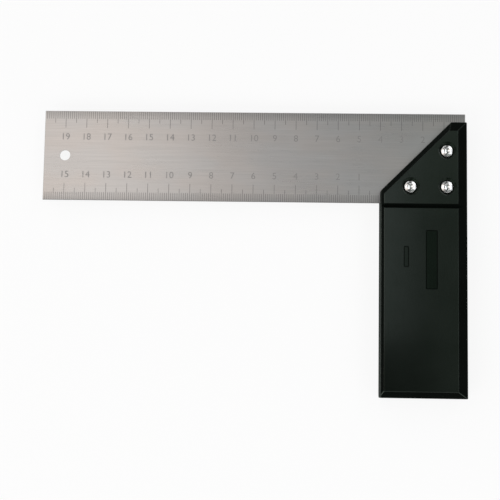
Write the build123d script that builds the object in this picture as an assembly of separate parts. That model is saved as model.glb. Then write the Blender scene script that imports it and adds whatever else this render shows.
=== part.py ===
from build123d import *
import os
from math import sqrt

# A fixed try square, lying flat: a steel blade let into a moulded stock and held there by three rivets.
# The origin is the inside corner, where the blade's inner edge meets the stock's inner face,
# halfway through the blade's thickness. +X runs to the heel, +Y to the blade's outer edge and +Z up
# from its face. All sizes are in millimetres.

# Blade
blade_length = 200.0
blade_width = 43.0
blade_thickness = 1.0
blade_edge_break = 0.15
hang_hole_diameter = 5.0
hang_hole_from_tip = 10.0

# Stock
stock_width = 40.0
stock_thickness = 16.0
grip_length = 91.0  # from the blade's inner edge to the foot
shoulder_rise = 5.3  # from the blade's inner edge to the lower end of the mitre
top_land = 7.3  # flat left at the top of the head, beside the mitre
slot_clearance = 0.05  # on each side of the blade

# Bevels round both faces of the stock, each as wide as its side asks, and the rounding of its edges
bevel_depth = 2.0
inner_bevel_depth = 1.3  # less on the inner side, which keeps a taller face to lay against the work
foot_bevel = 3.0
outer_bevel = 4.5
top_bevel = 4.5
mitre_bevel = 2.4
inner_bevel = 1.4
moulded_radius = 0.5  # on every outer edge of the stock

# Cross groove between head and grip, on both faces, with walls at 45 degrees
groove_width = 2.2
groove_drop = 2.2  # from the blade's inner edge to the groove's centre line

# Two blank sunk panels on the front of the grip, sized where their walls meet the face
panel_depth = 0.4
panel_draft = 45.0  # degrees
panel_corner = 0.5
wide_panel_width = 5.5
wide_panel_length = 27.5
wide_panel_from_outer = 16.7  # from the stock's outer face to the panel's centre line
wide_panel_drop = 11.3  # from the groove's centre line to the panel's upper end
narrow_panel_width = 2.4
narrow_panel_length = 9.7
narrow_panel_from_inner = 11.6  # from the stock's inner face to the panel's centre line
narrow_panel_drop = 18.9

# Rivets, laid out on lines that run beside the outer face, the blade's inner edge and the mitre
rivet_outer_margin = 9.4
rivet_edge_margin = 7.0
rivet_mitre_margin = 8.4
rivet_shank_diameter = 3.2
rivet_clearance = 0.05  # on the radius, in every hole that a rivet passes through
seat_diameter = 8.4  # sunk conical seats, measured at the faces of the stock
seat_depth = 1.8
seat_clearance = 0.15  # round the head or the washer, on the seat's floor
head_diameter = 5.4
head_rim = 0.5
head_height = 0.95
dimple_diameter = 3.0
dimple_depth = 0.3
tail_diameter = 5.0
tail_height = 0.9
crater_diameter = 1.9
crater_depth = 0.7

# Washers under the rolled tails
washer_diameter = 6.6
washer_thickness = 0.6

# Places that follow from the sizes above
tip_x = stock_width - blade_length
stock_top = shoulder_rise + stock_width - top_land  # the mitre is at 45 degrees
face_z = stock_thickness / 2
groove_y = -groove_drop
seat_z = face_z - seat_depth
rivet_hole_radius = rivet_shank_diameter / 2 + rivet_clearance

rivet_outer_x = stock_width - rivet_outer_margin
rivet_inner_x = rivet_edge_margin - shoulder_rise + rivet_mitre_margin * sqrt(2)
rivet_top_y = rivet_outer_x + shoulder_rise - rivet_mitre_margin * sqrt(2)
rivet_places = {
    "top": (rivet_outer_x, rivet_top_y),
    "inner": (rivet_inner_x, rivet_edge_margin),
    "outer": (rivet_outer_x, rivet_edge_margin),
}


def drill_rivet_holes(piece):
    """Cuts the three rivet holes right through a piece."""
    for x, y in rivet_places.values():
        piece -= Pos(x, y, 0) * Cylinder(rivet_hole_radius, 2 * stock_thickness)
    return piece


def make_blade():
    """A flat strip with softened edges, hanging hole and rivet holes; its heel is flush with the stock."""
    strip = Box(blade_length, blade_width, blade_thickness)
    strip = Pos(tip_x + blade_length / 2, blade_width / 2, 0) * strip
    strip = chamfer(strip.edges().filter_by(Axis.Z, reverse=True), blade_edge_break)
    hang_hole = Cylinder(hang_hole_diameter / 2, 2 * blade_thickness)
    strip -= Pos(tip_x + hang_hole_from_tip, blade_width / 2, 0) * hang_hole
    return drill_rivet_holes(strip)


def bevel_both_faces(block, corners, bevels):
    """Slopes every side of an upright block down from both faces; side i runs from corner i to the next."""
    for corner, after, (width, depth) in zip(corners, corners[1:] + corners[:1], bevels):
        run = (after - corner).normalized()
        outward = Vector(run.Y, -run.X, 0)
        for up in (Vector(0, 0, 1), Vector(0, 0, -1)):
            slope = Plane(origin=corner + up * (face_z - depth), z_dir=outward * depth + up * width)
            block = split(block, bisect_by=slope, keep=Keep.BOTTOM)
    return block


def sunk_panel(width, length, x, upper_y):
    """A cutter for one blank panel, whose walls lean outwards as they rise to the front face."""
    outline = RectangleRounded(width, length, panel_corner)
    return Pos(x, upper_y - length / 2, face_z) * extrude(outline, -panel_depth, taper=panel_draft)


def make_stock():
    """One moulding: bevelled body, blade slot, cross grooves, blank panels, rivet holes and their seats."""
    corners = [
        Vector(0, -grip_length),
        Vector(stock_width, -grip_length),
        Vector(stock_width, stock_top),
        Vector(stock_width - top_land, stock_top),
        Vector(0, shoulder_rise),
    ]
    outline = make_face(Polyline(*corners, close=True))
    body = extrude(outline, face_z, both=True)
    bevels = [(width, bevel_depth) for width in (foot_bevel, outer_bevel, top_bevel, mitre_bevel)]
    body = bevel_both_faces(body, corners, bevels + [(inner_bevel, inner_bevel_depth)])
    body = fillet(body.edges(), moulded_radius)

    slot = Box(2 * stock_width, 2 * stock_top, blade_thickness + 2 * slot_clearance)
    body -= Pos(stock_width / 2, stock_top, 0) * slot

    groove = Rot(45, 0, 0) * Box(2 * stock_width, groove_width / sqrt(2), groove_width / sqrt(2))
    for side in (face_z, -face_z):
        body -= Pos(stock_width / 2, groove_y, side) * groove
    front_seat = Cone(head_diameter / 2 + seat_clearance, seat_diameter / 2, seat_depth)
    back_seat = Cone(seat_diameter / 2, washer_diameter / 2 + seat_clearance, seat_depth)
    for x, y in rivet_places.values():
        body -= Pos(x, y, face_z - seat_depth / 2) * front_seat
        body -= Pos(x, y, -face_z + seat_depth / 2) * back_seat

    wide_panel_x = stock_width - wide_panel_from_outer
    wide_panel_y = groove_y - wide_panel_drop
    body -= sunk_panel(wide_panel_width, wide_panel_length, wide_panel_x, wide_panel_y)
    narrow_panel_y = groove_y - narrow_panel_drop
    body -= sunk_panel(narrow_panel_width, narrow_panel_length, narrow_panel_from_inner, narrow_panel_y)
    return drill_rivet_holes(body)


def sphere_radius(half_width, rise):
    """The radius of the ball that a shallow cap is cut from."""
    return (half_width**2 + rise**2) / (2 * rise)


def make_rivet():
    """A rivet on the Z axis: a domed, dimpled head, a shank, and a tail rolled over the washer behind."""
    shank = rivet_shank_diameter / 2
    head = head_diameter / 2
    tail = tail_diameter / 2
    crater = crater_diameter / 2
    head_top = seat_z + head_height
    washer_back = -seat_z - washer_thickness
    tail_end = washer_back - tail_height
    crater_floor = tail_end + crater_depth

    floor = Line((0, crater_floor), (crater, crater_floor))
    roll = ThreePointArc((crater, crater_floor), ((crater + tail) / 2, tail_end), (tail, washer_back))
    side = Polyline(
        (tail, washer_back),
        (shank, washer_back),
        (shank, seat_z),
        (head, seat_z),
        (head, seat_z + head_rim),
    )
    dome = TangentArc((0, head_top), (head, seat_z + head_rim), tangent=(1, 0))
    axis = Line((0, head_top), (0, crater_floor))
    profile = make_face([floor, roll, side, dome, axis])
    rivet = revolve(Plane.XZ * profile, axis=Axis.Z)

    dimple = dimple_diameter / 2
    dome_radius = sphere_radius(head, head_height - head_rim)
    dimple_radius = sphere_radius(dimple, dimple_depth)
    dimple_edge = head_top - dome_radius + sqrt(dome_radius**2 - dimple**2)
    return rivet - Pos(0, 0, dimple_edge - dimple_depth + dimple_radius) * Sphere(dimple_radius)


def make_washer():
    """A flat ring that lies on the back seat, on the Z axis."""
    ring = Circle(washer_diameter / 2) - Circle(rivet_hole_radius)
    return Pos(0, 0, -seat_z - washer_thickness) * extrude(ring, washer_thickness)


pieces = {"blade": make_blade(), "stock": make_stock()}
for place, (x, y) in rivet_places.items():
    pieces["rivet_" + place] = Pos(x, y, 0) * make_rivet()
    pieces["washer_" + place] = Pos(x, y, 0) * make_washer()

os.makedirs("parts", exist_ok=True)
for name, piece in pieces.items():
    export_step(piece, "parts/" + name + ".step")
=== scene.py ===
from math import cos, pi, radians, sin

import bmesh
import bpy
from mathutils import Euler, Matrix, Vector


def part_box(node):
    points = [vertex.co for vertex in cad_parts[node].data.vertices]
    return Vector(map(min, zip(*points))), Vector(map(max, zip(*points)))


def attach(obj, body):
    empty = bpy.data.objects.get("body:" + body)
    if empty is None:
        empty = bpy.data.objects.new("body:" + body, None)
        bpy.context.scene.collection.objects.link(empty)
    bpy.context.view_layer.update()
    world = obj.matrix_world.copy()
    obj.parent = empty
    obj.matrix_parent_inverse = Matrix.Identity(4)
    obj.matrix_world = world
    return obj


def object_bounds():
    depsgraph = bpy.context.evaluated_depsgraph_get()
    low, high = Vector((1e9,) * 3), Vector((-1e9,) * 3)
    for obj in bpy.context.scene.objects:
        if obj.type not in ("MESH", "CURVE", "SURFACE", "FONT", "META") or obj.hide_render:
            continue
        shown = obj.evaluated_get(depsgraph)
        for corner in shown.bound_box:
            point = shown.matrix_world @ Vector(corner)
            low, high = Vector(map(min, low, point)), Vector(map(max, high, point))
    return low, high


# A riveted try square, dressed for its portrait: brushed steel blade with an etched scale on both faces,
# moulded black stock and bright rivets, lying on a white table under soft boxes. All lengths are in metres.

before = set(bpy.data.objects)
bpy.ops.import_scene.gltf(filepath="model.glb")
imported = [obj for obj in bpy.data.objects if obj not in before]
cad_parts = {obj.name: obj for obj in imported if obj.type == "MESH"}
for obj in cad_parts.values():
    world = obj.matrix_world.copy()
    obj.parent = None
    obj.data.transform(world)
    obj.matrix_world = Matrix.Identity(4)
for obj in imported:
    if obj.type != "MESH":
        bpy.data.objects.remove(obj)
cad_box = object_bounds()

mm = 0.001
blade_low, blade_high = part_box("blade")
stock_low, stock_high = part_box("stock")
table_top = cad_box[0].z


class Wire:
    """One socket that varies over a surface. Arithmetic on wires adds Math nodes to their finish."""

    def __init__(self, finish, socket):
        self.finish = finish
        self.socket = socket

    def __add__(self, other):
        return self.finish.maths("ADD", self, other)

    def __radd__(self, other):
        return self.finish.maths("ADD", other, self)

    def __sub__(self, other):
        return self.finish.maths("SUBTRACT", self, other)

    def __rsub__(self, other):
        return self.finish.maths("SUBTRACT", other, self)

    def __mul__(self, other):
        return self.finish.maths("MULTIPLY", self, other)

    def __rmul__(self, other):
        return self.finish.maths("MULTIPLY", other, self)


class Finish:
    """A material being written. Lengths in its patterns are real ones, taken in the square's own frame."""

    def __init__(self, name):
        self.material = bpy.data.materials.new(name)
        self.material.use_nodes = True
        self.tree = self.material.node_tree
        self.tree.nodes.clear()

    def node(self, kind, settings=None, sockets=None, out=0):
        """Adds one node: its settings first, then the value or the link of each socket."""
        node = self.tree.nodes.new("ShaderNode" + kind)
        for name, value in (settings or {}).items():
            setattr(node, name, value)
        for key, value in (sockets or {}).items():
            if isinstance(value, Wire):
                self.tree.links.new(value.socket, node.inputs[key])
            else:
                node.inputs[key].default_value = value
        return Wire(self, node.outputs[out])

    def maths(self, operation, *values):
        return self.node("Math", {"operation": operation}, dict(enumerate(values)))

    def place(self):
        """The point being shaded."""
        return self.node("TexCoord", out="Object")

    def axis(self, vector, name):
        """One component of a vector."""
        return self.node("SeparateXYZ", sockets={"Vector": vector}, out=name)

    def noise(self, lengths, detail=2.0, lift=0.0):
        """Cloudy pattern around one half. Its blotches are as long as lengths says along X, Y and Z, and lift
        shifts it, so that two patterns of one size differ."""
        counts = [1 / length for length in lengths]
        stretched = self.node(
            "VectorMath", {"operation": "MULTIPLY_ADD"}, {0: self.place(), 1: counts, 2: (lift, lift, lift)}
        )
        return self.node("TexNoise", sockets={"Vector": stretched, "Scale": 1.0, "Detail": detail})

    def ramp(self, value, low, high):
        """A mask that rises smoothly from 0 to 1 as the value goes from low to high."""
        limits = {"Value": value, "From Min": low, "From Max": high}
        return self.node("MapRange", {"interpolation_type": "SMOOTHSTEP"}, limits)

    def blend(self, mask, first, second):
        """One colour where the mask is 0, the other where it is 1."""
        return self.node("Mix", {"data_type": "RGBA"}, {0: mask, 6: first, 7: second}, out=2)

    def bump(self, height, depth):
        """A normal from a height between 0 and 1 that stands for the given depth."""
        return self.node("Bump", sockets={"Height": height, "Distance": depth, "Strength": 1.0})

    def surface(self, shader):
        self.tree.links.new(shader.socket, self.tree.nodes.new("ShaderNodeOutputMaterial").inputs["Surface"])
        return self.material


def rgba(red, green, blue):
    return (red, green, blue, 1.0)


# Finishes


def brushed_blade_steel():
    """Satin steel, brushed along the blade, faintly clouded and stained, with painted shade that darkens it
    towards its long edges.
    """
    finish = Finish("brushed_blade_steel")
    hairline = finish.noise((18 * mm, 0.16 * mm, 0.16 * mm))
    streak = finish.noise((60 * mm, 1.1 * mm, 1.1 * mm), detail=3.0, lift=3.0)
    cloud = finish.noise((34 * mm, 20 * mm, 20 * mm), lift=7.0)
    stain = finish.ramp(finish.noise((30 * mm, 12 * mm, 12 * mm), lift=11.0), 0.35, 0.65)
    tone = finish.ramp(0.5 * hairline + 0.2 * streak + 0.3 * cloud, 0.25, 0.75)
    dark = finish.blend(stain, rgba(0.385, 0.375, 0.370), rgba(0.395, 0.374, 0.361))
    pale = finish.blend(stain, rgba(0.492, 0.480, 0.473), rgba(0.502, 0.476, 0.461))
    across = finish.axis(finish.place(), "Y")
    from_edge = finish.maths("MINIMUM", across - blade_low.y, blade_high.y - across)
    # painted shade: the base colour is blended halfway to dark grey towards both long edges of the blade
    edge_shade = 1 - finish.ramp(from_edge, -1 * mm, 4.5 * mm)
    shader = finish.node("BsdfPrincipled", sockets={
        "Base Color": finish.blend(0.5 * edge_shade, finish.blend(tone, dark, pale), rgba(0.24, 0.24, 0.24)),
        "Metallic": 1.0,
        "Roughness": 0.22 + 0.08 * hairline + 0.06 * cloud,
        "Normal": finish.bump(hairline, 0.0025 * mm),
    })
    return finish.surface(shader)


def etched_steel(name, deep, worn):
    """Dull bottoms of etched marks, mottled between two tones."""
    finish = Finish(name)
    grain = finish.noise((0.12 * mm, 0.12 * mm, 0.12 * mm))
    shader = finish.node("BsdfPrincipled", sockets={
        "Base Color": finish.blend(grain, deep, worn),
        "Metallic": 0.9,
        "Roughness": 0.5 + 0.15 * grain,
    })
    return finish.surface(shader)


def moulded_stock_plastic():
    """Black plastic: faces and bevels have a grained, scuffed gloss, steep walls and sunk floors are matt."""
    finish = Finish("moulded_stock_plastic")
    # 1 on faces and floors, 0.73 to 0.91 on bevels, 0.71 in groove and panel walls, less in the rivet seats
    facing = finish.maths("ABSOLUTE", finish.axis(finish.node("NewGeometry", out="True Normal"), "Z"))
    flat = finish.ramp(facing, 0.97, 0.995)
    wall = 1 - finish.ramp(facing, 0.62, 0.68)
    side = 1 - finish.ramp(facing, 0.05, 0.3)
    height = finish.maths("ABSOLUTE", finish.axis(finish.place(), "Z"))
    sunk = flat * (1 - finish.ramp(height, stock_high.z - 0.3 * mm, stock_high.z - 0.1 * mm))
    middle = (stock_low.x + stock_high.x) / 2
    outer_half = finish.ramp(finish.axis(finish.place(), "X"), middle - 4 * mm, middle)
    matt = sunk * (0.4 + 0.5 * outer_half)  # the narrow panel, on the inner half, keeps more gloss
    grain = finish.noise((0.35 * mm, 0.35 * mm, 0.35 * mm), detail=3.0)
    cloud = finish.noise((16 * mm, 16 * mm, 16 * mm), detail=3.0, lift=5.0)
    scuff = finish.ramp(finish.noise((0.3 * mm, 16 * mm, 16 * mm), lift=9.0), 0.64, 0.74)
    gloss = (1 - wall) * (1 - matt) * (1 - 0.45 * scuff)
    shader = finish.node("BsdfPrincipled", sockets={
        "Base Color": finish.blend(cloud, rgba(0.0014, 0.0020, 0.0015), rgba(0.0026, 0.0034, 0.0028)),
        "Roughness": 0.10 + 0.23 * wall + 0.5 * side + 0.06 * cloud + 0.05 * grain + 0.1 * scuff,
        "Specular IOR Level": 0.22,
        "Specular Tint": rgba(0.62, 1.0, 0.70),
        "Coat Weight": gloss * (0.18 + 0.36 * cloud + 0.44 * grain),
        "Coat Roughness": 0.13,
        "Normal": finish.bump(grain, 0.003 * mm),
    })
    return finish.surface(shader)


def bright_rivet_plating():
    """Bright plating over a pressed head."""
    finish = Finish("bright_rivet_plating")
    hammered = finish.noise((0.5 * mm, 0.5 * mm, 0.5 * mm), detail=3.0)
    shader = finish.node("BsdfPrincipled", sockets={
        "Base Color": finish.blend(hammered, rgba(0.78, 0.79, 0.78), rgba(0.90, 0.90, 0.89)),
        "Metallic": 1.0,
        "Roughness": 0.14 + 0.12 * hammered,
        "Normal": finish.bump(hammered, 0.01 * mm),
    })
    return finish.surface(shader)


def dull_washer_plating():
    """Dull zinc plating."""
    finish = Finish("dull_washer_plating")
    spangle = finish.noise((0.6 * mm, 0.6 * mm, 0.6 * mm), detail=3.0)
    shader = finish.node("BsdfPrincipled", sockets={
        "Base Color": finish.blend(spangle, rgba(0.58, 0.58, 0.57), rgba(0.74, 0.74, 0.73)),
        "Metallic": 1.0,
        "Roughness": 0.32 + 0.2 * spangle,
        "Normal": finish.bump(spangle, 0.004 * mm),
    })
    return finish.surface(shader)


def white_table():
    """White to the lens and in reflections; other light meets plain white paint, so the shadow stays."""
    finish = Finish("white_table")
    looks = ("Is Camera Ray", "Is Glossy Ray", "Is Transmission Ray")
    lens, mirror, glass = [finish.node("LightPath", out=look) for look in looks]
    glowing = finish.maths("MINIMUM", lens + mirror + glass, 1.0)
    paint = finish.node("BsdfDiffuse", sockets={"Color": rgba(0.95, 0.95, 0.95)})
    glow = finish.node("Emission", sockets={"Color": rgba(1, 1, 1), "Strength": 1.0})
    return finish.surface(finish.node("MixShader", sockets={0: 0.88 * glowing, 1: paint, 2: glow}))


# Scale: ticks and numbers stand a hair above both faces of the blade

tick_width = 0.20 * mm
tick_lengths = {10: 8.0 * mm, 5: 5.6 * mm, 1: 3.6 * mm}  # at every tenth, fifth and single millimetre
tick_gap = 0.2 * mm  # from the blade's edge to the ticks
number_height = 3.1 * mm
number_inset = 12.2 * mm  # from the ticks' ends at the edge to the numbers' middle
mark_sunk = 0.010 * mm
mark_proud = 0.012 * mm


def number_mesh(text):
    """A number as a flat solid of unit height, centred on the origin."""
    letters = bpy.data.curves.new("number", "FONT")
    letters.body = text
    letters.align_x = "CENTER"
    letters.align_y = "CENTER"
    letters.extrude = 0.5
    holder = bpy.data.objects.new("number", letters)
    mesh = bpy.data.meshes.new_from_object(holder)
    bpy.data.objects.remove(holder)
    bpy.data.curves.remove(letters)
    ys = [vertex.co.y for vertex in mesh.vertices]
    height = max(ys) - min(ys)
    middle = (max(ys) + min(ys)) / 2
    mesh.transform(Matrix.Diagonal((1 / height, 1 / height, 1, 1)) @ Matrix.Translation((0, -middle, 0)))
    return mesh


def scale_piece(name, edge_y, inward, zero_x, turned):
    """One scale along one long edge, counted from zero_x towards the tip; turned puts it on the back face."""
    marks = bmesh.new()
    face_z = blade_high.z + (mark_proud - mark_sunk) / 2
    thickness = mark_proud + mark_sunk
    millimetres = round((zero_x - blade_low.x) / mm)
    for count in range(1, millimetres):
        x = zero_x - count * mm
        length = next(tick_lengths[step] for step in tick_lengths if count % step == 0)
        size = Matrix.Diagonal((tick_width, length, thickness, 1))
        spot = Matrix.Translation((x, edge_y + inward * length / 2, face_z))
        bmesh.ops.create_cube(marks, matrix=spot @ size)
        if count % 10 == 0:
            mesh = number_mesh(str(count // 10))
            across = -number_height if turned else number_height
            spot = Matrix.Translation((x, edge_y + inward * number_inset, face_z))
            mesh.transform(spot @ Matrix.Diagonal((across, number_height, thickness, 1)))
            mesh.polygons.foreach_set("material_index", [1] * len(mesh.polygons))
            marks.from_mesh(mesh)
            bpy.data.meshes.remove(mesh)
    if turned:
        bmesh.ops.transform(marks, matrix=Matrix.Scale(-1, 4, (0, 0, 1)), verts=marks.verts)
    bmesh.ops.recalc_face_normals(marks, faces=marks.faces)
    mesh = bpy.data.meshes.new(name)
    marks.to_mesh(mesh)
    marks.free()
    piece = bpy.data.objects.new(name, mesh)
    bpy.context.scene.collection.objects.link(piece)
    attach(piece, "root")
    return piece


def etch_scales():
    """Puts two scales on each face: the outer one counts from the heel, the inner one from the stock."""
    tick_steel = etched_steel("etched_ticks", rgba(0.15, 0.146, 0.143), rgba(0.21, 0.205, 0.20))
    number_steel = etched_steel("etched_numbers", rgba(0.29, 0.28, 0.275), rgba(0.37, 0.36, 0.35))
    for face, turned in (("front", False), ("back", True)):
        outer = scale_piece(face + "_outer_scale", blade_high.y - tick_gap, -1, blade_high.x, turned)
        inner = scale_piece(face + "_inner_scale", blade_low.y + tick_gap, 1, stock_low.x, turned)
        for piece in (outer, inner):
            piece.data.materials.append(tick_steel)
            piece.data.materials.append(number_steel)


def finish_nodes():
    """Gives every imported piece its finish."""
    finishes = {
        "blade": brushed_blade_steel(),
        "stock": moulded_stock_plastic(),
        "rivet": bright_rivet_plating(),
        "washer": dull_washer_plating(),
    }
    for name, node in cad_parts.items():
        node.material_slots[0].material = finishes[name.split("_")[0]]


# Table, lights and camera

table_half = 12.0
overhead_height = 1.0
left_box_height = 0.95  # hung lower, so that the blade mirrors it in front of the box it overlaps
stand_reach = 1.6
stand_rise = radians(37)
stand_box_height = 0.95
studio_glow = 0.05
warm = (1.0, 0.91, 0.84)
green = (0.88, 1.0, 0.90)
cool = (0.93, 0.97, 1.0)
daylight = (0.94, 0.97, 1.0)


def lay_table():
    """A wide white table under the square."""
    corners = [(table_half * x, table_half * y) for x, y in ((-1, -1), (1, -1), (1, 1), (-1, 1))]
    mesh = bpy.data.meshes.new("table")
    mesh.from_pydata([(x, y, table_top) for x, y in corners], [], [(0, 1, 2, 3)])
    mesh.materials.append(white_table())
    table = bpy.data.objects.new("table", mesh)
    bpy.context.scene.collection.objects.link(table)


def soft_box(name, centre, target, width, height, radiance, colour=(1, 1, 1)):
    """A rectangular soft light; a radiance of 1 looks white."""
    lamp = bpy.data.lights.new(name, "AREA")
    lamp.shape = "RECTANGLE"
    lamp.color = colour
    lamp.size = width
    lamp.size_y = height
    lamp.energy = radiance * pi * width * height
    box = bpy.data.objects.new(name, lamp)
    box.location = centre
    box.rotation_euler = (Vector(target) - Vector(centre)).to_track_quat("-Z", "Y").to_euler()
    bpy.context.scene.collection.objects.link(box)


def overhead_box(name, low, high, height, radiance, colour=(1, 1, 1)):
    """A soft box that faces straight down, between two corners of its plan."""
    middle = ((low[0] + high[0]) / 2, (low[1] + high[1]) / 2)
    soft_box(name, (*middle, height), (*middle, 0), high[0] - low[0], high[1] - low[1], radiance, colour)


def standing_box(name, bearing, width, radiance):
    """A soft box on a stand that faces the square, at a bearing counted in degrees from +X towards +Y."""
    around = radians(bearing)
    away = stand_reach * cos(stand_rise)
    centre = (away * cos(around), away * sin(around), stand_reach * sin(stand_rise))
    soft_box(name, centre, (0, 0, 0), width, stand_box_height, radiance)


def light_studio():
    """Overhead boxes that blade, stock and rivets mirror, boxes on stands for the sides, and a dim room."""
    overhead_box("overhead_box", (-0.90, -0.025), (-0.02, 0.36), overhead_height, 0.735)
    overhead_box("corner_box", (-0.02, -0.025), (0.115, 0.36), overhead_height, 0.74, cool)
    overhead_box("left_box", (-0.47, -0.20), (-0.18, 0.46), left_box_height, 1.05, warm)
    overhead_box("head_box", (0.118, 0.165), (0.42, 0.36), overhead_height, 0.40, green)
    overhead_box("right_box", (0.14, -0.30), (0.42, 0.165), overhead_height, 0.29, green)
    overhead_box("right_lamp", (0.42, -0.13), (0.75, 0.80), overhead_height, 2.0, daylight)
    overhead_box("front_box", (-1.0, -1.15), (0.8, -0.50), overhead_height, 1.3)
    standing_box("front_left_box", 222, 1.5, 2.0)
    standing_box("back_left_box", 134, 2.2, 1.1)
    standing_box("front_right_box", 312, 1.2, 1.2)
    standing_box("back_right_box", 52, 0.6, 1.0)
    world = bpy.data.worlds.new("dim_studio")
    world.use_nodes = True
    background = world.node_tree.nodes["Background"]
    background.inputs["Color"].default_value = rgba(1, 1, 1)
    background.inputs["Strength"].default_value = studio_glow
    bpy.context.scene.world = world


def set_camera():
    """The lens stands above the square, nearly square on, and looks a little from below the blade."""
    to_square = Euler((radians(-6.654), radians(-1.887), radians(-0.719)), "XYZ").to_matrix().transposed()
    from_corner = Vector((-61.31 * mm, -21.99 * mm, 565.49 * mm))  # along the lens's own axes
    lens = bpy.data.cameras.new("camera")
    lens.sensor_width = 36.0
    lens.lens = 86.4
    camera = bpy.data.objects.new("camera", lens)
    camera.matrix_world = Matrix.Translation(to_square @ from_corner) @ to_square.to_4x4()
    bpy.context.scene.collection.objects.link(camera)
    bpy.context.scene.camera = camera


finish_nodes()
etch_scales()
lay_table()
light_studio()
set_camera()
bpy.context.scene.view_settings.view_transform = "Standard"
